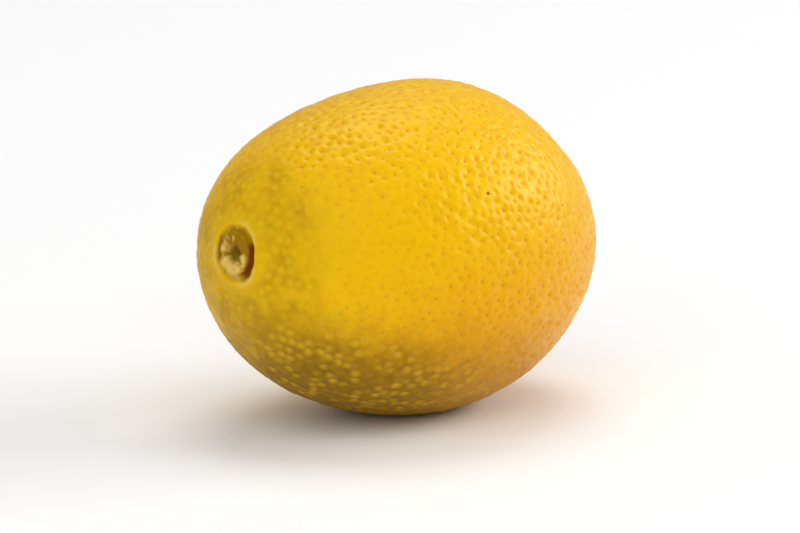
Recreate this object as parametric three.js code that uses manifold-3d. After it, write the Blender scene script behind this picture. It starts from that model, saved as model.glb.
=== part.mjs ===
// A ripe oval kumquat, picked off its stalk and lying on its side.
// It grew as one piece, so it is one solid: an obovate body, a little wider towards the end where the
// flower's style stood, with the round button scar of the stalk at its narrow end, a small style scar at
// the wide end, and oil glands that pit the rind all over.
// Millimetres, +Z up. The long axis runs along X with the stem end at -X. The fruit rests on z = 0, on a
// small flat spot, and the origin is under the middle of its bounding box.

import * as THREE from 'three';
import { ConvexGeometry } from 'three/addons/geometries/ConvexGeometry.js';
import { mergeVertices } from 'three/addons/utils/BufferGeometryUtils.js';
import Module from 'manifold-3d';

// Body. The middle of each round section steps aside and up towards both tips.
const LENGTH = 38;
const WIDTH = 27.7;
const OBOVATE = 0.061;
const TIP_SIDESTEP = -0.9;
const TIP_LIFT = 0.76;

// Gentle swells and flats of the body: how far along the axis its middle lies (1 is the stem tip, -1 the
// style tip), how far round it (90 is up), and its height. A negative height is a flat.
const SWELL_REACH = 8.5;
const SWELLS = [
  { along: -0.69, aroundDeg: 60, height: -0.75 },
  { along: -0.79, aroundDeg: 25, height: 0.45 },
  { along: -0.42, aroundDeg: 87, height: 0.38 },
  { along: 0.18, aroundDeg: 112, height: -0.38 },
  { along: 0.61, aroundDeg: 241, height: 0.4 },
  { along: 0.8, aroundDeg: 197, height: -0.17 },
  { along: -0.2, aroundDeg: 195, height: -0.3 },
  { along: -0.65, aroundDeg: 230, height: 0.3 },
];

// How it lies.
const STEM_RISE_DEG = 4.7;
const FLAT_DEPTH = 0.3;

// Stem scar, the corky button left by the stalk: a pit, a raised ring, a gap and a lip of rind. Each row is
// the distance from its centre, the height above the rind, and how many points go round it.
const STEM_SCAR = [
  [0, -0.5, 1],
  [0.45, -0.46, 9],
  [0.8, -0.02, 14],
  [1.35, 0.22, 36],
  [1.95, 0.06, 36],
  [2.2, -0.3, 36],
  [2.5, 0.02, 36],
  [2.95, 0.05, 36],
  [3.6, 0, 30],
];
const STEM_HOLLOW_DEPTH = 0.3;
const STEM_HOLLOW_REACH = 4;

// Style scar, in the same rows: a pinhole dimple with a low rim.
const STYLE_SCAR = [
  [0, -0.28, 1],
  [0.4, -0.22, 8],
  [0.8, 0.03, 14],
  [1.2, 0.05, 18],
  [1.9, 0, 20],
];

// Oil glands, wider apart than life so that facets can hold them. They fade out towards the flat spot.
const GLANDS = 1400;
const GLAND_DEPTH = 0.12;
const GLAND_JITTER = 0.22;
const GLAND_FADE_HEIGHT = 0.8;
const JITTER_SEED = 11;

const RIND_COLOUR = 0xe9b40f;
const RIND_ROUGHNESS = 0.42;
const GOLDEN_ANGLE = Math.PI * (3 - Math.sqrt(5));
const SAME_DIRECTION = 1e-5;
const CUT_MARGIN = 5;

const stemRise = THREE.MathUtils.degToRad(STEM_RISE_DEG);
const fruitUp = new THREE.Vector3(Math.sin(stemRise), 0, Math.cos(stemRise));

// A unit direction from how far it points along the axis and how far it is turned round it. Every point of
// the fruit is named by such a direction.
function direction(along, around) {
  const across = Math.sqrt(Math.max(0, 1 - along * along));
  return new THREE.Vector3(along, across * Math.cos(around), across * Math.sin(around));
}

function radiusAt(along) {
  return (WIDTH / 2) * (1 - OBOVATE * along);
}

// The body without its relief, in the fruit's own frame: +x towards the stem, +z up.
function bodyPoint(d) {
  const radius = radiusAt(d.x);
  const tip = d.x * d.x;
  return new THREE.Vector3(
    (LENGTH / 2) * d.x,
    radius * d.y + TIP_SIDESTEP * tip,
    radius * d.z + TIP_LIFT * tip,
  );
}

function bodyNormal(d) {
  return new THREE.Vector3(d.x / LENGTH, d.y / WIDTH, d.z / WIDTH).normalize();
}

const swellMiddles = SWELLS.map(({ along, aroundDeg }) =>
  bodyPoint(direction(along, THREE.MathUtils.degToRad(aroundDeg))),
);

function fade(distance, reach) {
  return Math.exp(-((distance / reach) ** 2));
}

// Height of a scar's rows at a distance from its centre, level past the last row.
function scarHeight(rows, distance) {
  for (let i = 1; i < rows.length; i++) {
    const [near, nearHeight] = rows[i - 1];
    const [far, farHeight] = rows[i];
    if (distance <= far) return THREE.MathUtils.mapLinear(distance, near, far, nearHeight, farHeight);
  }
  return 0;
}

// How far the rind stands off the body, without its glands.
function relief(d) {
  const point = bodyPoint(d);
  const fromAxis = radiusAt(d.x) * Math.hypot(d.y, d.z);
  let height = 0;
  SWELLS.forEach((swell, i) => {
    height += swell.height * fade(point.distanceTo(swellMiddles[i]), SWELL_REACH);
  });
  if (d.x < 0) return height + scarHeight(STYLE_SCAR, fromAxis);
  return height + scarHeight(STEM_SCAR, fromAxis) - STEM_HOLLOW_DEPTH * fade(fromAxis, STEM_HOLLOW_REACH);
}

// Whether a direction is past the outer ring of the scar at its end, by a margin in millimetres.
function clearOfScar(d, margin) {
  const rows = d.x > 0 ? STEM_SCAR : STYLE_SCAR;
  const fromAxis = radiusAt(d.x) * Math.hypot(d.y, d.z);
  return fromAxis > rows.at(-1)[0] + margin;
}

// Rings of directions round the tip at one end, at the distances of its scar's rows, each ring turned half a
// step against the last.
function scarDirections(rows, end) {
  return rows.flatMap(([distance, , points], ring) => {
    const along = end * Math.sqrt(1 - (distance / radiusAt(end)) ** 2);
    return Array.from({ length: points }, (_, i) =>
      direction(along, ((i + (ring % 2) / 2) / points) * 2 * Math.PI),
    );
  });
}

// A small seeded generator, so that the fruit is the same every time.
function randomFrom(seed) {
  let state = seed;
  return () => {
    state = (state + 0x6d2b79f5) | 0;
    let t = Math.imul(state ^ (state >>> 15), 1 | state);
    t = (t + Math.imul(t ^ (t >>> 7), 61 | t)) ^ t;
    return ((t ^ (t >>> 14)) >>> 0) / 4294967296;
  };
}

// Gland centres on a golden-angle spiral, each nudged at random, clear of both scars.
function glandDirections() {
  const random = randomFrom(JITTER_SEED);
  const spacing = Math.sqrt((4 * Math.PI) / GLANDS);
  const nudge = () => (2 * random() - 1) * GLAND_JITTER * spacing;
  const glands = [];
  for (let i = 0; i < GLANDS; i++) {
    const d = direction(1 - (2 * (i + 0.5)) / GLANDS, i * GOLDEN_ANGLE);
    d.add(new THREE.Vector3(nudge(), nudge(), nudge())).normalize();
    if (clearOfScar(d, (spacing * WIDTH) / 4)) glands.push(d);
  }
  return glands;
}

// The raised skin between glands: the middle of every three neighbours, outside the scars.
function ridgeDirections(neighbours) {
  const corners = new ConvexGeometry(neighbours).getAttribute('position');
  const ridges = [];
  for (let i = 0; i < corners.count; i += 3) {
    const middle = new THREE.Vector3();
    for (let k = 0; k < 3; k++) middle.add(new THREE.Vector3().fromBufferAttribute(corners, i + k));
    middle.normalize();
    if (clearOfScar(middle, 0.1)) ridges.push(middle);
  }
  return ridges;
}

// The closed rind: the hull of all directions is a round net, whose knots are then carried to their places
// on the fruit.
function rindGeometry() {
  const glands = glandDirections();
  const scars = [...scarDirections(STEM_SCAR, 1), ...scarDirections(STYLE_SCAR, -1)];
  const net = new ConvexGeometry([...glands, ...scars, ...ridgeDirections([...glands, ...scars])]);
  net.deleteAttribute('normal');
  const geometry = mergeVertices(net);
  const position = geometry.getAttribute('position');
  const knots = Array.from({ length: position.count }, (_, i) =>
    new THREE.Vector3().fromBufferAttribute(position, i).normalize(),
  );
  const lowest = Math.min(...knots.map((d) => bodyPoint(d).dot(fruitUp)));
  knots.forEach((d, i) => {
    const point = bodyPoint(d);
    const aboveFlat = point.dot(fruitUp) - lowest - FLAT_DEPTH;
    const isGland = glands.some((gland) => gland.distanceTo(d) < SAME_DIRECTION);
    const sunk = isGland ? GLAND_DEPTH * THREE.MathUtils.smoothstep(aboveFlat, 0, GLAND_FADE_HEIGHT) : 0;
    point.addScaledVector(bodyNormal(d), relief(d) - sunk);
    position.setXYZ(i, point.x, point.y, point.z);
  });
  return geometry;
}

const wasm = await Module();
wasm.setup();

function solidOf(geometry) {
  return new wasm.Manifold(
    new wasm.Mesh({
      numProp: 3,
      vertProperties: geometry.getAttribute('position').array,
      triVerts: new Uint32Array(geometry.getIndex().array),
    }),
  );
}

function geometryOf(solid) {
  const mesh = solid.getMesh();
  const geometry = new THREE.BufferGeometry();
  geometry.setAttribute('position', new THREE.BufferAttribute(mesh.vertProperties, 3));
  geometry.setIndex(new THREE.BufferAttribute(mesh.triVerts, 1));
  geometry.computeVertexNormals();
  return geometry;
}

// A block that fills the space under z = 0.
function blockBelow() {
  const side = LENGTH + 2 * CUT_MARGIN;
  const block = new THREE.BoxGeometry(side, side, CUT_MARGIN);
  block.translate(0, 0, -CUT_MARGIN / 2);
  block.deleteAttribute('normal');
  block.deleteAttribute('uv');
  return mergeVertices(block);
}

// The fruit as it lies: stem end raised and turned to -X, the plane of its flat spot at z = 0, and what is
// below that plane taken off.
function lyingFruit() {
  const geometry = rindGeometry();
  geometry.rotateY(-stemRise);
  geometry.rotateZ(Math.PI);
  geometry.computeBoundingBox();
  geometry.translate(0, 0, -geometry.boundingBox.min.z - FLAT_DEPTH);
  return geometryOf(solidOf(geometry).subtract(solidOf(blockBelow())));
}

function makeKumquat() {
  const geometry = lyingFruit();
  geometry.computeBoundingBox();
  const middle = geometry.boundingBox.getCenter(new THREE.Vector3());
  const rind = new THREE.MeshStandardMaterial({
    color: RIND_COLOUR,
    roughness: RIND_ROUGHNESS,
    metalness: 0,
  });
  const fruit = new THREE.Mesh(geometry, rind);
  fruit.name = 'kumquat';
  fruit.position.set(-middle.x, -middle.y, 0);
  return fruit;
}

const part = new THREE.Group();
part.add(makeKumquat());

export default part;
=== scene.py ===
# %% [markdown]
# # A kumquat, grown over its CAD solid
# A ripe oval kumquat lies on a pale table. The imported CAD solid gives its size, its place and how it rests.
# This lesson grows a finer skin over that solid: the same body, with the stem scar, the style scar and a few
# thousand oil glands as real relief, and a rind whose colour turns from olive gold to golden orange.

# %% Load the frame
import math

import bpy
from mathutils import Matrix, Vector


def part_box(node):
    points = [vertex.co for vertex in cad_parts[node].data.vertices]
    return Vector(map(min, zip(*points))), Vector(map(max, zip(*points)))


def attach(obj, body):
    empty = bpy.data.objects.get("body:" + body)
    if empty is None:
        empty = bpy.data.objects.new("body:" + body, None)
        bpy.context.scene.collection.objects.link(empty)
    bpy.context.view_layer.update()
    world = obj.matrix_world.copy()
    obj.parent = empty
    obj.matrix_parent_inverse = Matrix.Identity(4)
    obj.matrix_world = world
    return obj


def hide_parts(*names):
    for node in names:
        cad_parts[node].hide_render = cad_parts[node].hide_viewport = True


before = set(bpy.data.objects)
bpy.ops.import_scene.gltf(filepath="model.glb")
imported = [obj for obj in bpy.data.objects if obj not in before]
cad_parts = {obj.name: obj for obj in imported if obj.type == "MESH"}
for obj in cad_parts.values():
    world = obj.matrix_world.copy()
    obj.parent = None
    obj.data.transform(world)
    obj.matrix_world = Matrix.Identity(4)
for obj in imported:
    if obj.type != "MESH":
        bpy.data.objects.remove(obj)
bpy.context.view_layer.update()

MM = 0.001
lowest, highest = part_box("kumquat")
print("CAD box in mm:", [round(side / MM, 2) for side in highest - lowest])

# %% [markdown]
# ## The body rule
# The fruit's own frame has +x towards the stem and +z up, and every point of its skin is named by a
# direction from the middle. A kumquat could be sculpted by hand, but its body follows a rule: round
# sections that get wider towards the style end, along a middle line that steps aside near the tips. The
# rule is the one that the solid was built by, so the new skin fits it from every side.

# %% Body sizes and the body rule
BODY_TO_BOX = 1.002
WIDTH_TO_LENGTH = 0.729
LENGTH = BODY_TO_BOX * (highest.x - lowest.x)
WIDTH = WIDTH_TO_LENGTH * LENGTH
OBOVATE = 0.061
TIP_SIDESTEP = -0.9 * MM
TIP_LIFT = 0.76 * MM


def direction(along, around_deg):
    """The unit direction of a place: along is 1 at the stem and -1 at the style, around is 90 on top."""
    across = math.sqrt(max(0.0, 1 - along * along))
    around = math.radians(around_deg)
    return Vector((along, across * math.cos(around), across * math.sin(around)))


def body_point(d):
    """Where the body has the skin of a direction, before swells and scars."""
    radius = WIDTH / 2 * (1 - OBOVATE * d.x)
    tip = d.x * d.x
    return Vector((LENGTH / 2 * d.x, radius * d.y + TIP_SIDESTEP * tip, radius * d.z + TIP_LIFT * tip))


print("body length and width in mm:", round(LENGTH / MM, 2), round(WIDTH / MM, 2))

# %% [markdown]
# ## Rings from the stem to the style
# The skin needs small faces all over, and smaller ones still on the two scars. A cube sphere spaces its
# faces evenly but can't be fine in one spot, and a UV sphere wastes faces on its poles. Here rings of knots
# are laid from the stem to the style, each one mesh gap from the last, and the gap shrinks near both scars.

# %% Where the rings lie
COARSE_GAP = 0.184 * MM
FINE_GAP = 0.07 * MM
STEM_FINE_TO_COARSE = (2.8 * MM, 5 * MM)
STYLE_FINE_TO_COARSE = (1.1 * MM, 2.4 * MM)
OUTLINE_STEPS = 4000


def ease(span, x):
    """Goes smoothly from 0 to 1 while x crosses the span."""
    low, high = span
    t = min(1.0, max(0.0, (x - low) / (high - low)))
    return t * t * (3 - 2 * t)


def pace(angle):
    """How far the skin runs per radian, at an angle from the stem pole."""
    return math.hypot(LENGTH / 2 * math.sin(angle), WIDTH / 2 * math.cos(angle))


def mesh_gap(from_stem, from_style):
    """The distance between knots: fine on both scars, coarse elsewhere."""
    near_stem = 1 - ease(STEM_FINE_TO_COARSE, from_stem)
    near_style = 1 - ease(STYLE_FINE_TO_COARSE, from_style)
    return COARSE_GAP - (COARSE_GAP - FINE_GAP) * max(near_stem, near_style)


def ring_places():
    """Angles of the rings from the stem pole to the style pole, and the mesh gap of each."""
    step = math.pi / OUTLINE_STEPS
    outline = sum(pace((i + 0.5) * step) * step for i in range(OUTLINE_STEPS))
    places = [(0.0, FINE_GAP)]
    walked = 0.0
    while places[-1][0] < math.pi:
        angle, gap = places[-1]
        walked += gap
        places.append((angle + gap / pace(angle), mesh_gap(walked, max(0.0, outline - walked))))
    stretch = math.pi / places[-1][0]
    return [(angle * stretch, gap) for angle, gap in places]


places = ring_places()
print("rings:", len(places) - 2, "between the two poles")

# %% [markdown]
# ## A closed net of directions
# Each ring gets as many knots as fit round it, and every other ring is turned by half a step. Neighbouring
# rings are zipped together with triangles, by always stepping on along the ring whose next knot comes first.
# The net stays on a unit sphere, because its knots are the directions that name the skin's points.

# %% Zip the rings into a net
FEWEST_KNOTS = 6


def turn_after(ring, step):
    """How far round the knot after a step lies, or out of reach where the ring is used up."""
    if step + 1 < len(ring):
        return ring[step + 1][0]
    return 1 + ring[0][0] if step < len(ring) else math.inf


def zip_rings(upper, lower):
    """Triangles between two rings, each a list of (turn, knot) in order round the fruit."""
    faces = []
    i = j = 0
    while i < len(upper) or j < len(lower):
        a, b = upper[i % len(upper)][1], lower[j % len(lower)][1]
        if turn_after(upper, i) < turn_after(lower, j):
            i += 1
            faces.append((a, b, upper[i % len(upper)][1]))
        else:
            j += 1
            faces.append((a, b, lower[j % len(lower)][1]))
    return faces


def fan(pole, ring):
    """Triangles from a pole to the ring round it."""
    indices = [knot for turn, knot in ring]
    return [(pole, knot, indices[(k + 1) % len(indices)]) for k, knot in enumerate(indices)]


def direction_net():
    """Knots on the unit sphere and the triangles that join them, all facing outwards."""
    knots = [(1.0, 0.0, 0.0)]
    faces = []
    last = []
    for number, (angle, gap) in enumerate(places[1:-1]):
        across = math.sin(angle)
        count = max(FEWEST_KNOTS, round(math.pi * WIDTH * across / gap))
        ring = []
        for k in range(count):
            turn = (k + 0.5 * (number % 2)) / count
            around = 2 * math.pi * turn
            ring.append((turn, len(knots)))
            knots.append((math.cos(angle), across * math.cos(around), across * math.sin(around)))
        faces += zip_rings(last, ring) if last else fan(0, ring)
        last = ring
    pole = len(knots)
    knots.append((-1.0, 0.0, 0.0))
    faces += [(a, c, b) for a, b, c in fan(pole, last)]
    return knots, faces


knots, faces = direction_net()
net = bpy.data.meshes.new("net_of_directions")
net.from_pydata(knots, [], faces)
print("net:", len(knots), "knots,", len(faces), "triangles")

# %% [markdown]
# ## Short words for node trees
# Both the geometry and the material are sums written as nodes. A few short words keep them readable: put
# joins a socket or sets its value, and the other words make nodes and give back what comes out of them.

# %% A wiring helper for geometry and shader trees
VECTORS_TO_NUMBER = ("LENGTH", "DISTANCE", "DOT_PRODUCT")


class Wiring:
    """A node tree with short words for making and joining its nodes."""

    def __init__(self, tree):
        self.tree = tree

    def put(self, socket, value):
        """Joins a socket to what comes out of a node, or sets its value."""
        if isinstance(value, bpy.types.NodeSocket):
            self.tree.links.new(value, socket)
        else:
            socket.default_value = value

    def node(self, kind, inputs=(), **settings):
        """A new node with its settings, and with its inputs by name."""
        made = self.tree.nodes.new(kind)
        for name, value in settings.items():
            setattr(made, name, value)
        for name, value in dict(inputs).items():
            self.put(made.inputs[name], value)
        return made

    def sum_node(self, kind, operation, values):
        """A new math node of a kind, with its inputs in order."""
        made = self.node(kind, operation=operation)
        for socket, value in zip(made.inputs, values):
            self.put(socket, value)
        return made

    def math(self, operation, *values):
        return self.sum_node("ShaderNodeMath", operation, values).outputs[0]

    def vector(self, operation, *values):
        made = self.sum_node("ShaderNodeVectorMath", operation, values)
        return made.outputs[1 if operation in VECTORS_TO_NUMBER else 0]

    def scaled(self, vector, factor):
        made = self.sum_node("ShaderNodeVectorMath", "SCALE", (vector,))
        self.put(made.inputs["Scale"], factor)
        return made.outputs[0]

    def parts(self, vector):
        return self.node("ShaderNodeSeparateXYZ", {"Vector": vector}).outputs

    def joined(self, x, y, z):
        return self.node("ShaderNodeCombineXYZ", {"X": x, "Y": y, "Z": z}).outputs[0]


print("wiring helper ready for", len(VECTORS_TO_NUMBER), "sums that turn vectors into a number")

# %% [markdown]
# ## Words for sums and smooth shapes
# A second set of words builds on the first. It adds and multiplies, and it draws the four shapes that all
# the relief and colour here are made of: a bell round a place, a smooth ramp, a noise, and a curve through
# rows of heights.

# %% Sums, bells, ramps, noises and curves


class Shaping(Wiring):
    """Wiring with words for sums and for smooth shapes."""

    def times(self, first, *others):
        """The product of all its values."""
        for other in others:
            first = self.math("MULTIPLY", first, other)
        return first

    def plus(self, first, second):
        return self.math("ADD", first, second)

    def minus(self, first, second):
        return self.math("SUBTRACT", first, second)

    def line(self, value, slope, start):
        """A straight line: value times slope, plus start."""
        return self.math("MULTIPLY_ADD", value, slope, start)

    def larger(self, first, second):
        return self.math("MAXIMUM", first, second)

    def left_of(self, share):
        """What is left of 1 after a share."""
        return self.minus(1.0, share)

    def bell(self, distance, reach):
        """1 at distance 0, fading to nothing past the reach."""
        share = self.math("DIVIDE", distance, reach)
        return self.math("EXPONENT", self.times(share, share, -1.0))

    def ramp(self, value, span, results=(0.0, 1.0)):
        """Goes smoothly from the first result to the second while value crosses the span."""
        inputs = {"Value": value, "From Min": span[0], "From Max": span[1]}
        inputs.update({"To Min": results[0], "To Max": results[1]})
        return self.node("ShaderNodeMapRange", inputs, interpolation_type="SMOOTHSTEP").outputs["Result"]

    def noise(self, vector, scale, detail=2.0, roughness=0.5, output="Fac"):
        """A noise, from 0 to 1 with a middle of 0.5."""
        inputs = {"Vector": vector, "Scale": scale, "Detail": detail, "Roughness": roughness}
        return self.node("ShaderNodeTexNoise", inputs, noise_dimensions="3D").outputs[output]

    def swing(self, vector, **texture):
        """A noise that swings about 0."""
        return self.minus(self.noise(vector, **texture), 0.5)

    def curve(self, value, rows):
        """The height of (place, height) rows at value, level past the last row."""
        last = rows[-1][0]
        low = min(height for place, height in rows)
        high = max(height for place, height in rows)
        made = self.node("ShaderNodeFloatCurve")
        made.mapping.extend = "HORIZONTAL"
        points = made.mapping.curves[0].points
        while len(points) < len(rows):
            points.new(0.5, 0.5)
        for point, (place, height) in zip(points, rows):
            point.location = (place / last, (height - low) / (high - low))
            point.handle_type = "AUTO_CLAMPED"
        made.mapping.update()
        self.put(made.inputs["Value"], self.math("DIVIDE", value, last))
        return self.line(made.outputs[0], high - low, low)


grow = bpy.data.node_groups.new("grow_kumquat", "GeometryNodeTree")
wire = Shaping(grow)
print("empty tree:", grow.name)

# %% [markdown]
# ## The inputs of the growing tree
# Geometry Nodes grow the fruit from the net, because its whole shape follows rules: a body, two scars and
# thousands of glands. The sizes that a grower would change are named inputs, and every random draw comes from
# one fixed seed.

# %% Named inputs
STEM_RISE = math.radians(4.7)
FLOAT = "NodeSocketFloat"

rind = bpy.data.materials.new("citrus_rind")
rind.use_nodes = True
INPUTS = {
    "Length": (FLOAT, LENGTH),
    "Width": (FLOAT, WIDTH),
    "Obovate": (FLOAT, OBOVATE),
    "Stem rise": (FLOAT, STEM_RISE),
    "Rest middle x": (FLOAT, (lowest.x + highest.x) / 2),
    "Rest middle y": (FLOAT, (lowest.y + highest.y) / 2),
    "Rest top": (FLOAT, highest.z),
    "Gland gap": (FLOAT, 0.76 * MM),
    "Gland width": (FLOAT, 0.26 * MM),
    "Gland depth": (FLOAT, 0.13 * MM),
    "Lump height": (FLOAT, 0.05 * MM),
    "Ripple height": (FLOAT, 0.24 * MM),
    "Seed": ("NodeSocketInt", 7),
    "Rind": ("NodeSocketMaterial", rind),
}
grow.interface.new_socket("Net", in_out="INPUT", socket_type="NodeSocketGeometry")
for name, (kind, value) in INPUTS.items():
    grow.interface.new_socket(name, in_out="INPUT", socket_type=kind)
grow.interface.new_socket("Fruit", in_out="OUTPUT", socket_type="NodeSocketGeometry")
given = wire.node("NodeGroupInput").outputs
print("tree inputs:", ", ".join(INPUTS))

# %% [markdown]
# ### The bare body
# The body rule is now written as nodes. The direction of each knot is kept as an attribute, because both the
# later steps and the material ask where on the fruit they are.

# %% Body


def keep(geometry, name, value, kind="FLOAT"):
    """Stores a value on every knot under a name."""
    inputs = {"Geometry": geometry, "Name": name, "Value": value}
    return wire.node("GeometryNodeStoreNamedAttribute", inputs, data_type=kind, domain="POINT").outputs[0]


def kept(name, kind="FLOAT"):
    """Reads a value stored on the knots."""
    return wire.node("GeometryNodeInputNamedAttribute", {"Name": name}, data_type=kind).outputs[0]


position = wire.node("GeometryNodeInputPosition").outputs[0]
fruit = keep(given["Net"], "heading", position, "FLOAT_VECTOR")
heading = kept("heading", "FLOAT_VECTOR")
along, side, up = wire.parts(heading)

narrowing = wire.left_of(wire.times(given["Obovate"], along))
radius = wire.times(wire.times(given["Width"], 0.5), narrowing)
tip = wire.times(along, along)
body = wire.joined(
    wire.times(given["Length"], 0.5, along),
    wire.line(radius, side, wire.times(tip, TIP_SIDESTEP)),
    wire.line(radius, up, wire.times(tip, TIP_LIFT)),
)
outward = wire.vector("NORMALIZE", wire.vector("DIVIDE", heading, (LENGTH, WIDTH, WIDTH)))
print("body rule in", len(grow.nodes), "nodes")

# %% [markdown]
# ### Swells and flats
# No kumquat is an even egg. Low bells, each round one place on the body, raise it where the fruit bulges
# and lower it where it grew flat.

# %% Swells and flats
SWELL_REACH = 8.5 * MM
SWELLS = [
    {"along": -0.69, "around": 60, "height": -0.75 * MM},
    {"along": -0.79, "around": 25, "height": 0.45 * MM},
    {"along": -0.42, "around": 87, "height": 0.38 * MM},
    {"along": 0.18, "around": 112, "height": -0.38 * MM},
    {"along": 0.61, "around": 241, "height": 0.4 * MM},
    {"along": 0.8, "around": 197, "height": -0.17 * MM},
    {"along": -0.2, "around": 195, "height": -0.3 * MM},
    {"along": -0.65, "around": 230, "height": 0.3 * MM},
]

height = 0.0
for swell in SWELLS:
    middle = body_point(direction(swell["along"], swell["around"]))
    share = wire.bell(wire.vector("DISTANCE", body, middle), SWELL_REACH)
    height = wire.line(share, swell["height"], height)
print("swells and flats:", len(SWELLS))

# %% [markdown]
# ### How far a knot is from a scar
# Both scars are drawn over the distance from their middle. A turned knob would have round rings, but a real
# scar is taller than it is wide and its rings wander, so the distance shrinks above and below and a noise
# makes it uneven.

# %% Uneven distance from the scars
SCAR_OVAL = 0.09
SCAR_UNEVENNESS = 0.32
WOBBLE = {"scale": 9.0, "detail": 5.0, "roughness": 0.6}

from_axis = wire.times(radius, wire.vector("LENGTH", wire.joined(0.0, side, up)))
round_scar = wire.vector("NORMALIZE", wire.joined(0.0, side, up))
upright = wire.parts(round_scar)[2]
oval = wire.line(wire.times(upright, upright), -SCAR_OVAL, 1.0)
uneven = wire.line(wire.swing(heading, **WOBBLE), SCAR_UNEVENNESS, oval)
scar_distance = wire.times(from_axis, uneven)
fruit = keep(fruit, "scar_distance", scar_distance)
print("scar distance shrinks by", round(100 * SCAR_OVAL), "per cent above and below")

# %% [markdown]
# ### The stem scar
# The stem scar is the corky button that the stalk left: from the middle outwards a pit, a raised ring, a
# dark gap and a lip of rind, all in a shallow hollow. A curve through rows of distance and height gives its
# section.

# %% Section of the stem scar
STEM_SCAR = [
    (0.0, -0.46 * MM),
    (0.3 * MM, -0.42 * MM),
    (0.55 * MM, -0.2 * MM),
    (0.8 * MM, 0.02 * MM),
    (1.1 * MM, 0.12 * MM),
    (1.45 * MM, 0.12 * MM),
    (1.7 * MM, -0.04 * MM),
    (1.93 * MM, -0.34 * MM),
    (2.2 * MM, -0.05 * MM),
    (2.45 * MM, 0.1 * MM),
    (3.0 * MM, 0.03 * MM),
    (3.7 * MM, 0.0),
]
HOLLOW_DEPTH = 0.3 * MM
HOLLOW_REACH = 4 * MM

hollow = wire.times(wire.bell(from_axis, HOLLOW_REACH), -HOLLOW_DEPTH)
stem_scar = wire.plus(wire.curve(scar_distance, STEM_SCAR), hollow)
print("stem scar: relief out to", round(STEM_SCAR[-1][0] / MM, 1), "mm from its middle")

# %% [markdown]
# ### Lobes, and where the gap is open
# The cork swells into a few lobes, which a noise over the direction round the scar makes. The gap round it is
# open in one wide crescent and one narrow one, and elsewhere the cork has grown against the rind, so the gap
# is nearly filled there. Lobes and openings are kept for the material.

# %% Lobes and gap of the stem scar
LOBES = {"scale": 2.3, "detail": 0.0}
LOBE_MIDDLE = 1.25 * MM
LOBE_REACH = 0.55 * MM
LOBE_HEIGHT = 0.4 * MM
GAP_MIDDLE = 1.93 * MM
GAP_REACH = 0.27 * MM
GAP_FILL = 0.24 * MM
OPENINGS = [{"around": -15, "span": (0.4, 0.8)}, {"around": 175, "span": (0.78, 0.94)}]

lobe = wire.noise(round_scar, **LOBES)
on_lobes = wire.bell(wire.minus(scar_distance, LOBE_MIDDLE), LOBE_REACH)
lobe_height = wire.times(wire.minus(lobe, 0.5), LOBE_HEIGHT)
stem_scar = wire.line(on_lobes, lobe_height, stem_scar)

opening = 0.0
for crescent in OPENINGS:
    faces_crescent = wire.vector("DOT_PRODUCT", round_scar, direction(0, crescent["around"]))
    opening = wire.larger(opening, wire.ramp(faces_crescent, crescent["span"]))
on_gap = wire.bell(wire.minus(scar_distance, GAP_MIDDLE), GAP_REACH)
stem_scar = wire.line(on_gap, wire.times(wire.left_of(opening), GAP_FILL), stem_scar)

fruit = keep(fruit, "scar_lobe", lobe)
fruit = keep(fruit, "gap_opening", opening)
print("gap open in", len(OPENINGS), "crescents")

# %% [markdown]
# ### The style scar, the crumbs and the whole relief
# The style scar at the other end is a pinhole with a low rim. Dry cork is crumbly, so a fine noise roughens
# the middle of both scars. The style scar is the smaller one, so its distance counts for more and its
# crumbs keep closer to the middle. Then all the heights are added up, and each knot moves out or in from
# the body by its own sum.

# %% Style scar, crumbs and relief
STYLE_SCAR = [
    (0.0, -0.17 * MM),
    (0.15 * MM, -0.22 * MM),
    (0.28 * MM, -0.2 * MM),
    (0.45 * MM, -0.05 * MM),
    (0.7 * MM, 0.05 * MM),
    (1.2 * MM, 0.05 * MM),
    (1.9 * MM, 0.0),
]
CRUMB = {"scale": 1900.0, "detail": 3.0, "roughness": 0.65}
CRUMB_HEIGHT = 0.6 * MM
CRUMB_REACH = 1.6 * MM
STYLE_COUNTS_MORE_BY = 2.0

at_stem = wire.math("GREATER_THAN", along, 0.0)
at_style = wire.math("LESS_THAN", along, 0.0)
crumb_distance = wire.times(scar_distance, wire.line(at_style, STYLE_COUNTS_MORE_BY, 1.0))
crumbs = wire.times(wire.swing(body, **CRUMB), wire.bell(crumb_distance, CRUMB_REACH), CRUMB_HEIGHT)
height = wire.plus(height, crumbs)
height = wire.line(stem_scar, at_stem, height)
height = wire.line(wire.curve(scar_distance, STYLE_SCAR), at_style, height)
skin = wire.vector("ADD", body, wire.scaled(outward, height))
placed = wire.node("GeometryNodeSetPosition", {"Geometry": fruit, "Position": skin}).outputs[0]
print("style scar: relief out to", round(STYLE_SCAR[-1][0] / MM, 1), "mm from its middle")

# %% [markdown]
# ### How it lies
# The fruit is turned so that its stem end points to -X and is slightly raised, then moved so that its box has
# the same middle and the same top as the CAD solid's. Doing this before the glands are sown means that all
# places kept from here on are already in the shared frame.

# %% Lay the fruit down in the frame
turn = wire.joined(0.0, wire.times(given["Stem rise"], -1.0), math.pi)
turned = wire.node("GeometryNodeTransform", {"Geometry": placed, "Rotation": turn}).outputs[0]
extent = wire.node("GeometryNodeBoundBox", {"Geometry": turned}).outputs
middle = wire.parts(wire.scaled(wire.vector("ADD", extent["Min"], extent["Max"]), 0.5))
shift = wire.joined(
    wire.minus(given["Rest middle x"], middle[0]),
    wire.minus(given["Rest middle y"], middle[1]),
    wire.minus(given["Rest top"], wire.parts(extent["Max"])[2]),
)
lying = wire.node("GeometryNodeSetPosition", {"Geometry": turned, "Offset": shift}).outputs[0]
print("laid down: stem end raised", round(math.degrees(STEM_RISE), 1), "degrees")

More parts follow.
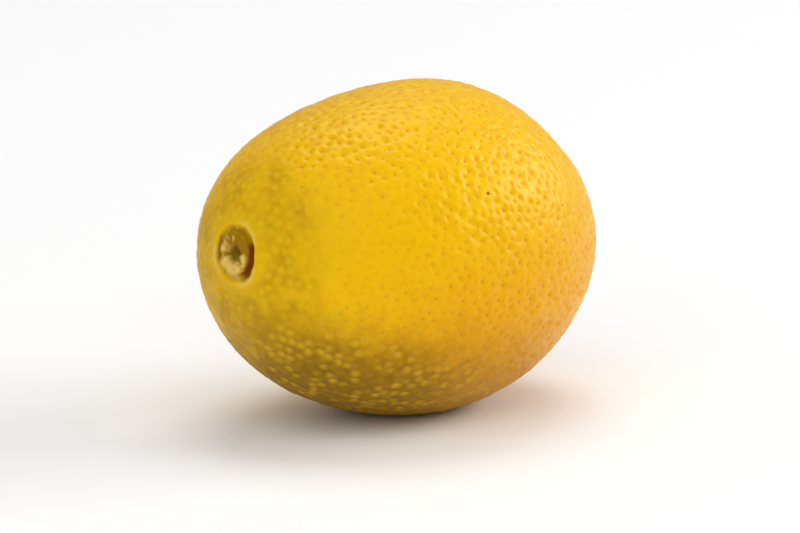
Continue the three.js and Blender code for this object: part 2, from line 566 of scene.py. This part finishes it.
# %% [markdown]
# ### Lumps, ripples and a calm patch
# Between its glands the rind is never flat. It has broad low lumps and fine ripples, which run longer round
# the fruit than along it. Both are noises. The ripples and glands are weaker near the stem, and weakest in
# one calm patch beside it, where the rind is smooth. The calm is kept for the material.

# %% Lumps and ripples
CALMEST = direction(0.74, 14)
CALM_REACH = 0.46
CALMING = 0.55
STEM_APPROACH = (0.78, 0.97)
LIVELINESS_AT_STEM = 0.6
LUMP = {"scale": 170.0, "detail": 1.0}
LUMP_GAIN = 2.4
RIPPLE = {"scale": 900.0, "detail": 2.0}
ROUND_THE_FRUIT = (1.5, 0.8, 0.8)
STYLE_EDGE = 0.85 * MM
STEM_EDGE = 2.6 * MM

calm = wire.bell(wire.vector("DISTANCE", heading, CALMEST), CALM_REACH)
liveliness = wire.line(calm, -CALMING, 1.0)
liveliness = wire.times(liveliness, wire.ramp(along, STEM_APPROACH, (1.0, LIVELINESS_AT_STEM)))
lumps = wire.times(wire.swing(position, **LUMP), LUMP_GAIN, given["Lump height"])
ripples = wire.swing(wire.vector("MULTIPLY", position, ROUND_THE_FRUIT), **RIPPLE)
off_scars = wire.ramp(kept("scar_distance"), (STYLE_EDGE, STEM_EDGE))
ripples = wire.times(ripples, given["Ripple height"], liveliness, off_scars)
waves = wire.plus(lumps, ripples)
print("ripples about", round(1 / RIPPLE["scale"] / MM, 1), "mm apart")

# %% [markdown]
# ### Sowing the glands
# A citrus rind is pitted wherever an oil gland lies under the skin. The glands could be a noise or a
# pattern of cells, but those cut through the skin at random depths and give cells of every size. Points
# that are sown on the skin with a smallest distance between them keep the even crowd of real glands. Each
# gland gets a random tone, which decides how wide, deep and bright it is.

# %% Sow the glands
GLAND_CROWD = 9e6

edge = wire.line(at_stem, STEM_EDGE - STYLE_EDGE, STYLE_EDGE)
sown = wire.node(
    "GeometryNodeDistributePointsOnFaces",
    {
        "Mesh": lying,
        "Selection": wire.math("GREATER_THAN", kept("scar_distance"), edge),
        "Distance Min": given["Gland gap"],
        "Density Max": GLAND_CROWD,
        "Seed": given["Seed"],
    },
    distribute_method="POISSON",
).outputs
random_tone = wire.node("FunctionNodeRandomValue", {"Seed": given["Seed"]}, data_type="FLOAT").outputs[1]
glands = keep(sown["Points"], "tone", random_tone)
print("glands sown at least", round(INPUTS["Gland gap"][1] / MM, 2), "mm apart")

# %% [markdown]
# ### How deep the glands sink
# A gland's centre moves with the lumps and ripples and then sinks by its own depth. The sunken centres are
# needed before the skin itself moves, because the material measures its pores from them.

# %% Sunken centres of the glands
DEPTH_PER_TONE = 1.1
LEAST_DEPTH = 0.45


def dimple_depth(tone):
    """How deep a gland of a tone sinks, less where the skin is calm."""
    return wire.times(wire.line(tone, DEPTH_PER_TONE, LEAST_DEPTH), liveliness, given["Gland depth"])


centre_rise = wire.scaled(sown["Normal"], wire.minus(waves, dimple_depth(kept("tone"))))
sunk_glands = wire.node("GeometryNodeSetPosition", {"Geometry": glands, "Offset": centre_rise}).outputs[0]
deepest = (LEAST_DEPTH + DEPTH_PER_TONE) * INPUTS["Gland depth"][1]
print("deepest gland sinks", round(deepest / MM, 2), "mm")

# %% [markdown]
# ### The gland nearest to each knot
# Each knot looks up its nearest gland. A small noise first moves the place from which it looks, so that no
# dimple is a perfect circle. The distance to that gland, its centre and its tone are kept, and the material
# can then draw each pore exactly where the dimple is.

# %% Look up the nearest gland
JUMBLE = {"scale": 1100.0, "detail": 1.0}
JUMBLE_REACH = 0.34 * MM

jumble = wire.noise(position, output="Color", **JUMBLE)
jumble = wire.scaled(wire.vector("SUBTRACT", jumble, (0.5, 0.5, 0.5)), JUMBLE_REACH)
jumbled = wire.vector("ADD", position, jumble)
look_up = {"Geometry": glands, "Sample Position": jumbled}
nearest = wire.node("GeometryNodeSampleNearest", look_up, domain="POINT").outputs[0]


def of_nearest(geometry, value, kind):
    """A value of the gland nearest to each knot."""
    inputs = {"Geometry": geometry, "Value": value, "Index": nearest}
    return wire.node("GeometryNodeSampleIndex", inputs, data_type=kind, domain="POINT").outputs[0]


gland_distance = wire.vector("DISTANCE", jumbled, of_nearest(glands, position, "FLOAT_VECTOR"))
marked = keep(lying, "gland_distance", gland_distance)
marked = keep(marked, "gland_centre", of_nearest(sunk_glands, position, "FLOAT_VECTOR"), "FLOAT_VECTOR")
marked = keep(marked, "gland_tone", of_nearest(glands, kept("tone"), "FLOAT"))
marked = keep(marked, "calm", calm)
print("kept on the skin: heading, scars, nearest gland and calm")

# %% [markdown]
# ### Dimples
# The skin now moves along its normals: out and in with the lumps and ripples, and in by a bell round each
# gland, whose width and depth follow the gland's tone.

# %% Sink a dimple at each gland
WIDTH_PER_TONE = 0.7
LEAST_WIDTH = 0.65

own_width = wire.line(kept("gland_tone"), WIDTH_PER_TONE, LEAST_WIDTH)
dimple = wire.bell(kept("gland_distance"), wire.times(given["Gland width"], own_width))
dimple = wire.times(dimple, dimple_depth(kept("gland_tone")))
normal = wire.node("GeometryNodeInputNormal").outputs[0]
rise = wire.scaled(normal, wire.minus(waves, dimple))
pitted = wire.node("GeometryNodeSetPosition", {"Geometry": marked, "Offset": rise}).outputs[0]
widest = (LEAST_WIDTH + WIDTH_PER_TONE) * INPUTS["Gland width"][1]
print("widest dimple reaches", round(widest / MM, 2), "mm from its centre")

# %% [markdown]
# ### The flat spot
# What would lie below the table is pressed up to it, which gives the small flat spot that a ripe fruit gets
# by lying on its side. The press is a little soft, so that the spot has no sharp edge. The tree ends in
# Realize Instances and Set Material.

# %% Press the flat spot and end the tree
PRESS_SOFTNESS = 0.1 * MM

x, y, z = wire.parts(position)
resting = wire.joined(x, y, wire.math("SMOOTH_MAX", z, 0.0, PRESS_SOFTNESS))
pressed = wire.node("GeometryNodeSetPosition", {"Geometry": pitted, "Position": resting}).outputs[0]
smooth = wire.node("GeometryNodeSetShadeSmooth", {"Geometry": pressed}).outputs[0]
real = wire.node("GeometryNodeRealizeInstances", {"Geometry": smooth}).outputs[0]
dressed = wire.node("GeometryNodeSetMaterial", {"Geometry": real, "Material": given["Rind"]}).outputs[0]
wire.put(wire.node("NodeGroupOutput").inputs["Fruit"], dressed)
print("growing tree:", len(grow.nodes), "nodes")

# %% [markdown]
# ## Growing the fruit
# The tree's inputs are set by identifier before it first runs. Then the evaluated fruit becomes a plain mesh
# with no modifier left on it, at the origin and unturned, with its place in its mesh.

# %% Run the tree and keep a plain mesh
grower = bpy.data.objects.new("grower", net)
bpy.context.scene.collection.objects.link(grower)
modifier = grower.modifiers.new("grow", "NODES")
modifier.node_group = grow
identifiers = {item.name: item.identifier for item in grow.interface.items_tree if item.in_out == "INPUT"}
for name, (kind, value) in INPUTS.items():
    modifier[identifiers[name]] = value

grown = grower.evaluated_get(bpy.context.evaluated_depsgraph_get())
skin_mesh = bpy.data.meshes.new_from_object(grown)
skin_mesh.name = "kumquat_skin"
kumquat = bpy.data.objects.new("kumquat_skin", skin_mesh)
bpy.context.scene.collection.objects.link(kumquat)
bpy.data.objects.remove(grower)
print("skin:", len(skin_mesh.vertices), "vertices,", len(skin_mesh.polygons), "triangles")

# %% [markdown]
# ## The rind's colours
# The colour of a ripe kumquat isn't even. It is olive gold at the stem, deep olive on the side that lay in
# shade on the tree, with that olive darkened further as painted shade, golden yellow in the middle, and
# orange towards the style, a little darker as painted shade below. The deep orange underneath is painted
# shade. The colours are named once here, in the usual screen numbers, and turned into the linear light that
# shaders count in.

# %% Colours as linear light


def linear(red, green, blue):
    """A colour given in the usual 0 to 255 screen numbers, as linear light with full alpha."""
    shares = [c / 255 for c in (red, green, blue)]
    return tuple(s / 12.92 if s <= 0.04045 else ((s + 0.055) / 1.055) ** 2.4 for s in shares) + (1.0,)


GOLDEN = linear(238, 187, 0)
# Ripe orange, made a little darker as painted shade for the lower side.
ORANGE_AND_SHADE = linear(229, 162, 0)
# Painted shade: a darker orange that stands for shade on the underside.
PAINTED_SHADE_ORANGE = linear(188, 128, 0)
OLIVE_GOLD = linear(226, 183, 0)
# The rind's own deep olive, made darker than it is as painted shade on the lower side.
DEEP_OLIVE_AND_SHADE = linear(138, 102, 0)
PALE_GLAND = linear(222, 178, 34)
FRECKLE = linear(224, 152, 0)
PORE = linear(200, 120, 0)
CORK = linear(228, 191, 96)
CORK_DARK = linear(158, 118, 12)
SCAR_PIT = linear(112, 86, 0)
# Brown of a scar's floor: in the stem scar's gap it is deepened as painted shade, and it is also the style
# scar's brown middle.
SCAR_BROWN_AND_GAP_SHADE = linear(126, 64, 2)
LIP = linear(226, 188, 70)
STROKE = linear(184, 140, 0)
SPECK = linear(92, 54, 0)
print("golden ground as linear light:", [round(part, 3) for part in GOLDEN[:3]])

# %% [markdown]
# ## Where a point of the rind is
# The material reads the kept attributes and Object coordinates, so nothing slides when the fruit is moved or
# seen from elsewhere. Noises read the place in millimetres, so that a scale of 1 means marks of about 1 mm.

# %% Places and mixing in the material
paint = Shaping(rind.node_tree)
rind.node_tree.nodes.clear()


def attribute(name, output="Fac"):
    """A value that the growing tree kept on the skin."""
    return paint.node("ShaderNodeAttribute", attribute_name=name, attribute_type="GEOMETRY").outputs[output]


def blend(factor, first, second):
    """The first colour turning into the second as the factor goes from 0 to 1."""
    made = paint.node("ShaderNodeMix", data_type="RGBA", clamp_factor=True)
    for index, value in ((0, factor), (6, first), (7, second)):
        paint.put(made.inputs[index], value)
    return made.outputs[2]


where = paint.node("ShaderNodeTexCoord").outputs["Object"]
where_mm = paint.scaled(where, 1 / MM)
heading_here = attribute("heading", "Vector")
along_here, side_here, up_here = paint.parts(heading_here)
print("places for the material: object, millimetres and heading")

# %% [markdown]
# ### Ripeness and painted shade
# Directions name where the fruit is greenest, where it is ripest and where the painted shade underneath is
# deepest. How far a point faces each of them, made uneven by two soft noises, blends the ground colours. The
# olive, and a little the orange, are darkened as painted shade on the lower side, and the deep orange is
# painted shade. The skin by the stem turns olive gold by its distance along the fruit.

# %% Ground colour by ripeness, with painted shade underneath
OLIVE_AND_SHADE_MIDDLE = direction(0.46, -80)
RIPEST_AND_SHADED = direction(-0.35, -50)
UNDERSIDE_SHADE_MIDDLE = direction(0.05, -75)
PATCH = {"scale": 0.22, "detail": 3.0}
MOTTLE = {"scale": 0.9, "detail": 3.0, "roughness": 0.6}
UNEVENNESS = 0.2
RIPE_SPAN = (0.15, 0.95)
UNDERSIDE_SHADE_SPAN = (0.42, 0.9)
UNDERSIDE_SHADE_SHARE = 0.85
STEM_SPAN = (0.72, 0.97)
OLIVE_AND_SHADE_SPAN = (0.58, 1.0)

patches = paint.times(paint.swing(where_mm, **PATCH), UNEVENNESS)
uneven_here = paint.line(paint.swing(where_mm, **MOTTLE), UNEVENNESS, patches)


def facing(place):
    """How far a point faces a direction, made uneven: about 1 right there and -1 opposite."""
    return paint.plus(paint.vector("DOT_PRODUCT", heading_here, place), uneven_here)


facing_olive_and_shade = facing(OLIVE_AND_SHADE_MIDDLE)
olive_and_shade = paint.ramp(facing_olive_and_shade, OLIVE_AND_SHADE_SPAN)
near_stem = paint.ramp(paint.plus(along_here, uneven_here), STEM_SPAN)
olive_share = paint.larger(olive_and_shade, near_stem)
# Orange towards the style and the lower side, a little darker there as painted shade.
ground = blend(paint.ramp(facing(RIPEST_AND_SHADED), RIPE_SPAN), GOLDEN, ORANGE_AND_SHADE)
# Painted shade: the underside turns deep orange where shade falls.
ground = blend(paint.ramp(facing(UNDERSIDE_SHADE_MIDDLE), UNDERSIDE_SHADE_SPAN, (0.0, UNDERSIDE_SHADE_SHARE)), ground, PAINTED_SHADE_ORANGE)
ground = blend(near_stem, ground, OLIVE_GOLD)
# The lower side turns deep olive: the rind's own olive, darkened as painted shade.
ground = blend(olive_and_shade, ground, DEEP_OLIVE_AND_SHADE)
print("ground colour: golden, orange, deep orange, olive gold and deep olive")

# %% [markdown]
# ### Freckles
# Ripe rind is freckled with slightly deeper orange. The freckles are a noise that runs round the fruit as its
# ripples do. They are missing where the fruit is green, and weak in the calm patch.

# %% Freckles
FRECKLES = {"scale": 1.05, "detail": 3.0, "roughness": 0.65}
FRECKLE_SPAN = (0.45, 0.7)
FRECKLE_SHARE = 0.5
CALM_FADES = 0.7

stretched = paint.vector("MULTIPLY", where_mm, ROUND_THE_FRUIT)
freckles = paint.ramp(paint.noise(stretched, **FRECKLES), FRECKLE_SPAN)
lively = paint.line(attribute("calm"), -CALM_FADES, 1.0)
freckles = paint.times(freckles, paint.left_of(olive_and_shade), lively, FRECKLE_SHARE)
ground = blend(freckles, ground, FRECKLE)
print("freckles cover at most", FRECKLE_SHARE, "of the ground")

# %% [markdown]
# ### Pale dots in the olive part
# Where the rind is still olive, its oil glands show as pale dots. They need no sharp edge, so the kept
# distance to the nearest gland, soft and a little jumbled, draws them well. They are strongest where the
# fruit is greenest, weaker by the stem, and come in clusters. Bright and dim glands follow the kept tone.

# %% Pale dots
DOT_CORE = 0.1 * MM
DOT_EDGE = 0.58 * MM
DOT_SPAN = (0.5, 0.82)
DOT_SHARES = (0.04, 0.8)
STEM_DOT_SHARE = 0.42
DOT_TONES = (0.3, 0.8)
DIM_AND_BRIGHT = (0.24, 1.0)
CLUSTER = {"scale": 0.5, "detail": 2.0}
CLUSTER_SPAN = (0.35, 0.62)
CLUSTER_SHARES = (0.68, 1.0)

kept_distance = attribute("gland_distance")
gland_tone = attribute("gland_tone")
dots = paint.ramp(kept_distance, (DOT_CORE, DOT_EDGE), (1.0, 0.0))
dot_strength = paint.ramp(facing_olive_and_shade, DOT_SPAN, DOT_SHARES)
dot_strength = paint.larger(dot_strength, paint.times(near_stem, STEM_DOT_SHARE))
dot_strength = paint.times(dot_strength, paint.ramp(gland_tone, DOT_TONES, DIM_AND_BRIGHT))
clusters = paint.ramp(paint.noise(where_mm, **CLUSTER), CLUSTER_SPAN, CLUSTER_SHARES)
colour = blend(paint.times(dots, paint.times(dot_strength, clusters)), ground, PALE_GLAND)
print("pale dots", round(2 * DOT_EDGE / MM, 2), "mm wide at most")

# %% [markdown]
# ### Pores in the ripe part
# Where the rind is ripe, a gland shows as a soft dent with a deeper pore in it. The pore needs a sharp edge.
# Where all knots of a face share one gland, the centre of that gland comes through exactly, so the distance
# to it can be measured at every pixel. A guard made from the kept distance hides the narrow seams between
# two glands, where the centres would mix.

# %% Dents and pores
PORE_CORE = 0.05 * MM
PORE_EDGE = 0.17 * MM
GUARD_INNER = 0.24 * MM
GUARD_OUTER = 0.34 * MM
DENT_EDGE = 0.32 * MM
DENT_SHARE = 0.4
PORE_SHARE = 0.55
PORE_TONES = (0.2, 1.0)

own_gland = paint.ramp(kept_distance, (GUARD_INNER, GUARD_OUTER), (1.0, 0.0))
exact_distance = paint.vector("DISTANCE", where, attribute("gland_centre", "Vector"))
pores = paint.ramp(exact_distance, (PORE_CORE, PORE_EDGE), (1.0, 0.0))
pores = paint.times(pores, own_gland, lively)
dents = paint.times(paint.ramp(kept_distance, (0.0, DENT_EDGE), (DENT_SHARE, 0.0)), lively)
ripe_share = paint.left_of(olive_share)
colour = blend(paint.times(dents, ripe_share), colour, FRECKLE)
pore_tones = paint.ramp(gland_tone, PORE_TONES, PORE_TONES)
colour = blend(paint.times(pores, ripe_share, PORE_SHARE, pore_tones), colour, PORE)
print("pores", round(2 * PORE_EDGE / MM, 2), "mm wide at most")

# %% [markdown]
# ### Specks
# Every fruit picks up a few tiny dark specks on the tree. Each one here is a small disc round its own place,
# named by direction, because a noise would strew them at random.

# %% Dark specks
SPECKS = [
    {"along": 0.155, "around": 27.6, "reach": 0.012},
    {"along": -0.313, "around": 20.8, "reach": 0.008},
    {"along": -0.281, "around": 8.6, "reach": 0.009},
    {"along": 0.551, "around": 70.8, "reach": 0.008},
]
SPECK_CORE = 0.4
SPECK_SHARE = 0.85

for speck in SPECKS:
    away = paint.vector("DISTANCE", heading_here, direction(speck["along"], speck["around"]))
    span = (SPECK_CORE * speck["reach"], speck["reach"])
    colour = blend(paint.ramp(away, span, (SPECK_SHARE, 0.0)), colour, SPECK)
print("specks:", len(SPECKS))

# %% [markdown]
# ### Places on the stem scar
# The scar's colours lie in discs, rings and arcs round its middle. They are drawn over the kept distance, so
# they follow the uneven relief, and over the direction round the scar. A ring is written as its inner edge,
# its outer edge and how soft both are, and a disc as its edge and how soft that is.

# %% Discs, rings and arcs
scar_mm = paint.math("DIVIDE", attribute("scar_distance"), MM)
stem_half = paint.math("GREATER_THAN", along_here, 0.0)
round_here = paint.vector("NORMALIZE", paint.joined(0.0, side_here, up_here))


def disc(outer, softness):
    """1 within a distance from the stem scar's middle, in millimetres."""
    inside = paint.ramp(scar_mm, (outer - softness, outer + softness), (1.0, 0.0))
    return paint.times(inside, stem_half)


def ring(inner, outer, softness):
    """1 between two distances from the stem scar's middle, in millimetres."""
    return paint.times(paint.ramp(scar_mm, (inner - softness, inner + softness)), disc(outer, softness))


def towards(around_deg):
    """How far a place on the scar lies towards an angle round the fruit: 1 right there and -1 opposite."""
    return paint.vector("DOT_PRODUCT", round_here, direction(0, around_deg))


print("material so far:", len(rind.node_tree.nodes), "nodes")

# %% [markdown]
# ### Olive marks round the stem scar
# The rind was drawn in to the stalk here. Soft olive strokes run round the scar, from a noise whose place
# counts the distance and the direction round the scar, and the skin between the glands is darker too.

# %% Strokes round the stem scar
STROKES = {"scale": 0.8, "detail": 1.0}
STROKES_OUTWARD = 1.7
STROKES_ROUND = 3.6
STROKE_RING = (3.1, 6.8, 1.1)
STROKE_SPAN = (0.4, 0.7)
STROKE_SHARE = 0.34
BETWEEN_SPAN = (0.06 * MM, 0.48 * MM)
BETWEEN_SHARE = 0.6
FADING = {"scale": 0.45, "detail": 1.0}
FADING_SPAN = (0.3, 0.64)
FADING_SHARES = (0.3, 0.9)

outward_part = paint.joined(paint.times(scar_mm, STROKES_OUTWARD), 0.0, 0.0)
stroke_place = paint.vector("ADD", outward_part, paint.scaled(round_here, STROKES_ROUND))
strokes = paint.ramp(paint.noise(stroke_place, **STROKES), STROKE_SPAN, (0.0, STROKE_SHARE))
strokes = paint.plus(strokes, paint.ramp(kept_distance, BETWEEN_SPAN, (0.0, BETWEEN_SHARE)))
strokes = paint.times(strokes, ring(*STROKE_RING))
fading = paint.ramp(paint.noise(where_mm, **FADING), FADING_SPAN, FADING_SHARES)
colour = blend(paint.times(strokes, fading), colour, STROKE)
print("olive marks round the stem scar")

# %% [markdown]
# ### Lip, cork, gap and pit
# The lip of rind is pale in three arcs. The disc inside it is cork: creamy and darker where its lobes dip,
# with painted shade towards the upper right and painted light below. The gap round it is dark brown where
# it is open, its brown floor deepened as painted shade, and filled with cork, all but a trace, where it is
# closed. The pit in the middle is dark olive.

# %% Colours of the stem scar
LIP_RING = (2.2, 2.55, 0.15)
CORK_DISC = (1.62, 0.2)
CLOSED_RING = (1.5, 2.02, 0.2)
GAP_BROWN_AND_SHADE_RING = (1.56, 2.18, 0.18)
PIT_DISC = (0.68, 0.28)
LIP_ARCS = (52, -52, 197)
LIP_ARC_SPAN = (0.8, 0.95)
CORK_GRAIN = {"scale": 1.5, "detail": 4.0, "roughness": 0.6}
GRAIN_SHARE = 0.8
LOBE_SHARE = 0.4
# Painted light below the cork and painted shade towards its upper right:
PAINTED_LIGHT_SIDE = -100
PAINTED_LIGHT_GAIN = 0.13
CORK_START = 0.1
PAINTED_SHADE_SIDE = 52
PAINTED_SHADE_SPAN = (0.8, 0.97)
PAINTED_SHADE_LOSS = 0.2
CORK_SPAN = (0.56, 0.8)
CLOSED_SHARE = 0.85
LEAST_GAP = 0.2
PIT_SHARE = 0.9

lip_arcs = 0.0
for around in LIP_ARCS:
    lip_arcs = paint.larger(lip_arcs, paint.ramp(towards(around), LIP_ARC_SPAN))
cork_grain = paint.times(paint.noise(where_mm, **CORK_GRAIN), GRAIN_SHARE)
cork_tone = paint.line(attribute("scar_lobe"), LOBE_SHARE, cork_grain)
# Painted light: the cork is lighter below.
cork_tone = paint.plus(cork_tone, paint.line(towards(PAINTED_LIGHT_SIDE), PAINTED_LIGHT_GAIN, CORK_START))
# Painted shade: the cork is darker towards the upper right.
cork_tone = paint.plus(cork_tone, paint.ramp(towards(PAINTED_SHADE_SIDE), PAINTED_SHADE_SPAN, (0.0, -PAINTED_SHADE_LOSS)))
cork = blend(paint.ramp(cork_tone, CORK_SPAN), CORK_DARK, CORK)
gap_opening = attribute("gap_opening")
open_gap_brown_and_shade = paint.line(gap_opening, 1 - LEAST_GAP, LEAST_GAP)
closed_gap = paint.times(ring(*CLOSED_RING), paint.left_of(gap_opening), CLOSED_SHARE)

colour = blend(paint.times(ring(*LIP_RING), lip_arcs), colour, LIP)
colour = blend(disc(*CORK_DISC), colour, cork)
colour = blend(closed_gap, colour, cork)
# The open gap: brown, deepened as painted shade in the crevice.
colour = blend(paint.times(ring(*GAP_BROWN_AND_SHADE_RING), open_gap_brown_and_shade), colour, SCAR_BROWN_AND_GAP_SHADE)
colour = blend(paint.times(disc(*PIT_DISC), PIT_SHARE), colour, SCAR_PIT)
print("stem scar coloured: lip in", len(LIP_ARCS), "arcs, cork, gap and pit")

# %% [markdown]
# ### The style scar's colours
# The style scar is a small ragged stain: a pale rim, a brown middle and a touch of dark cork in the pinhole.
# A noise makes the distance ragged, because a neat round hole would look drilled.

# %% Colours of the style scar
RAGGED = {"scale": 2.2, "detail": 3.0, "roughness": 0.6}
RAGGEDNESS = 0.8
STAINS = [
    {"span": (0.6, 1.5), "share": 0.5, "colour": LIP},
    {"span": (0.24, 0.56), "share": 0.9, "colour": SCAR_BROWN_AND_GAP_SHADE},
    {"span": (0.0, 0.2), "share": 0.6, "colour": CORK_DARK},
]

style_half = paint.math("LESS_THAN", along_here, 0.0)
ragged_mm = paint.line(paint.swing(where_mm, **RAGGED), RAGGEDNESS, scar_mm)
for stain in STAINS:
    share = paint.ramp(ragged_mm, stain["span"], (stain["share"], 0.0))
    colour = blend(paint.times(share, style_half), colour, stain["colour"])
print("style scar coloured in", len(STAINS), "stains")

# %% [markdown]
# ### Fine bump
# The mesh already holds the dimples, so the bump only adds what is finer than its faces: the sharp pore in
# each dimple, the fine grain between them, and the fibres of the cork. Its heights are in millimetres.

# %% Fine bump
GRAIN = {"scale": 4.5, "detail": 3.0, "roughness": 0.6}
GRAIN_HEIGHT = 0.012
PORE_DEPTH = 0.02
FIBRE = {"scale": 9.0, "detail": 3.0, "roughness": 0.7}
FIBRE_HEIGHT = 0.05
ROUGH_DISC = (2.1, 0.2)

corky = disc(*ROUGH_DISC)
fibres = paint.times(paint.noise(where_mm, **FIBRE), corky)
fine_height = paint.line(paint.noise(where_mm, **GRAIN), GRAIN_HEIGHT, paint.times(pores, -PORE_DEPTH))
fine_height = paint.line(fibres, FIBRE_HEIGHT, fine_height)
bump = paint.node("ShaderNodeBump", {"Height": fine_height, "Distance": MM, "Strength": 1.0})
print("cork fibres up to", FIBRE_HEIGHT, "mm high")

# %% [markdown]
# ### Gloss and the shader
# The skin is waxy but not polished: a middling roughness that varies a little, duller where it is olive and
# rough on the cork. A little light passes through the rind, as subsurface scattering. Its gloss is tinted
# gold, so that what it mirrors of the white table doesn't wash out the rind.

# %% Gloss and shader
GLOSS = {"scale": 0.6, "detail": 2.0}
GLOSS_VARIES = 0.14
SKIN_ROUGHNESS = 0.28
OLIVE_ROUGHER = 0.2
CORK_ROUGHER = 0.45

roughness = paint.line(paint.noise(where_mm, **GLOSS), GLOSS_VARIES, SKIN_ROUGHNESS)
roughness = paint.line(olive_share, OLIVE_ROUGHER, roughness)
roughness = paint.line(corky, CORK_ROUGHER, roughness)
shader = paint.node(
    "ShaderNodeBsdfPrincipled",
    {
        "Base Color": colour,
        "Roughness": roughness,
        "Normal": bump.outputs[0],
        "IOR": 1.4,
        "Specular IOR Level": 0.38,
        "Specular Tint": (1.0, 0.8, 0.3, 1.0),
        "Subsurface Weight": 0.15,
        "Subsurface Radius": (1.0, 0.45, 0.08),
        "Subsurface Scale": 0.8 * MM,
    },
)
paint.put(paint.node("ShaderNodeOutputMaterial").inputs["Surface"], shader.outputs[0])
print("rind material:", len(rind.node_tree.nodes), "nodes")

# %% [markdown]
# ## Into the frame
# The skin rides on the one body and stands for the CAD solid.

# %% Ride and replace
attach(kumquat, "root")
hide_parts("kumquat")
print("kumquat_skin stands for the CAD node kumquat")

# %% [markdown]
# ## Camera
# The camera looks at the angle that the photograph was taken at: a little above the table, with the stem end
# to the left and turned towards the viewer. A long lens well back keeps the near tip from swelling, and the
# fruit fills half of the frame's width.

# %% Camera
CAMERA_AZIMUTH = math.radians(-47.8)
CAMERA_ELEVATION = math.radians(12)
LENS = 250.0
SENSOR = 36.0
FRAME_WIDTH = 66 * MM
AIM_DROP = 1.6 * MM
NEAREST_SEEN = 0.01
FARTHEST_SEEN = 20.0

middle_of_fruit = (lowest + highest) / 2
aim = middle_of_fruit - Vector((0, 0, AIM_DROP))
back = Vector(
    (
        math.sin(CAMERA_AZIMUTH) * math.cos(CAMERA_ELEVATION),
        -math.cos(CAMERA_AZIMUTH) * math.cos(CAMERA_ELEVATION),
        math.sin(CAMERA_ELEVATION),
    )
)
camera = bpy.data.objects.new("camera", bpy.data.cameras.new("camera"))
camera.data.lens = LENS
camera.data.sensor_width = SENSOR
camera.data.clip_start = NEAREST_SEEN
camera.data.clip_end = FARTHEST_SEEN
camera.location = aim + back * (FRAME_WIDTH * LENS / SENSOR)
camera.rotation_mode = "QUATERNION"
camera.rotation_quaternion = (-back).to_track_quat("-Z", "Y")
bpy.context.scene.collection.objects.link(camera)
bpy.context.scene.camera = camera
print("camera", round((camera.location - aim).length, 3), "m away")

# %% [markdown]
# ## Table and surround
# A plain white table and a dim white surround give the soft fill of a light tent. The table lies a hair below
# the fruit, so that the two never share a plane.

# %% Table and surround
TABLE_HALF = 2.0
TABLE_DROP = 0.02 * MM
TABLE_WHITE = (0.96, 0.96, 0.96, 1.0)
TABLE_ROUGHNESS = 0.6
SURROUND_STRENGTH = 0.4

signs = [(-1, -1), (1, -1), (1, 1), (-1, 1)]
corners = [(x * TABLE_HALF, y * TABLE_HALF, -TABLE_DROP) for x, y in signs]
table_mesh = bpy.data.meshes.new("table")
table_mesh.from_pydata(corners, [], [(0, 1, 2, 3)])
table = bpy.data.objects.new("table", table_mesh)
bpy.context.scene.collection.objects.link(table)
white = bpy.data.materials.new("white_table")
white.use_nodes = True
white_shader = white.node_tree.nodes["Principled BSDF"]
white_shader.inputs["Base Color"].default_value = TABLE_WHITE
white_shader.inputs["Roughness"].default_value = TABLE_ROUGHNESS
table_mesh.materials.append(white)

world = bpy.data.worlds.new("surround")
world.use_nodes = True
background = world.node_tree.nodes["Background"]
background.inputs["Color"].default_value = (1.0, 1.0, 1.0, 1.0)
background.inputs["Strength"].default_value = SURROUND_STRENGTH
bpy.context.scene.world = world
print("table", 2 * TABLE_HALF, "m wide under a white surround")

# %% [markdown]
# ## Softboxes
# Three softboxes light the fruit, all facing its middle. The one to the right and a little behind is low and
# wide, and gives the highlight on the shoulder. One hangs overhead, and a large one high in front keeps the
# stem end from going dark. Colours are shown as they are, with no film look.

# %% Softboxes
LIGHT_DISTANCE = 0.9
SOFTBOXES = {
    "overhead": {"from": (0.29, 0.2, 0.94), "size": (0.5, 0.5), "power": 2.5},
    "side": {"from": (0.76, -0.48, 0.42), "size": (0.7, 0.3), "power": 4.1},
    "front": {"from": (-0.7, -0.45, 0.75), "size": (1.0, 1.0), "power": 4.0},
}

for name, box in SOFTBOXES.items():
    light = bpy.data.lights.new(name, "AREA")
    light.shape = "RECTANGLE"
    light.size, light.size_y = box["size"]
    light.energy = box["power"]
    lamp = bpy.data.objects.new(name, light)
    ray = Vector(box["from"]).normalized()
    lamp.location = middle_of_fruit + ray * LIGHT_DISTANCE
    lamp.rotation_mode = "QUATERNION"
    lamp.rotation_quaternion = ray.to_track_quat("Z", "Y")
    bpy.context.scene.collection.objects.link(lamp)
bpy.context.scene.view_settings.view_transform = "Standard"
bpy.context.scene.view_settings.look = "None"
print("softboxes:", ", ".join(SOFTBOXES))
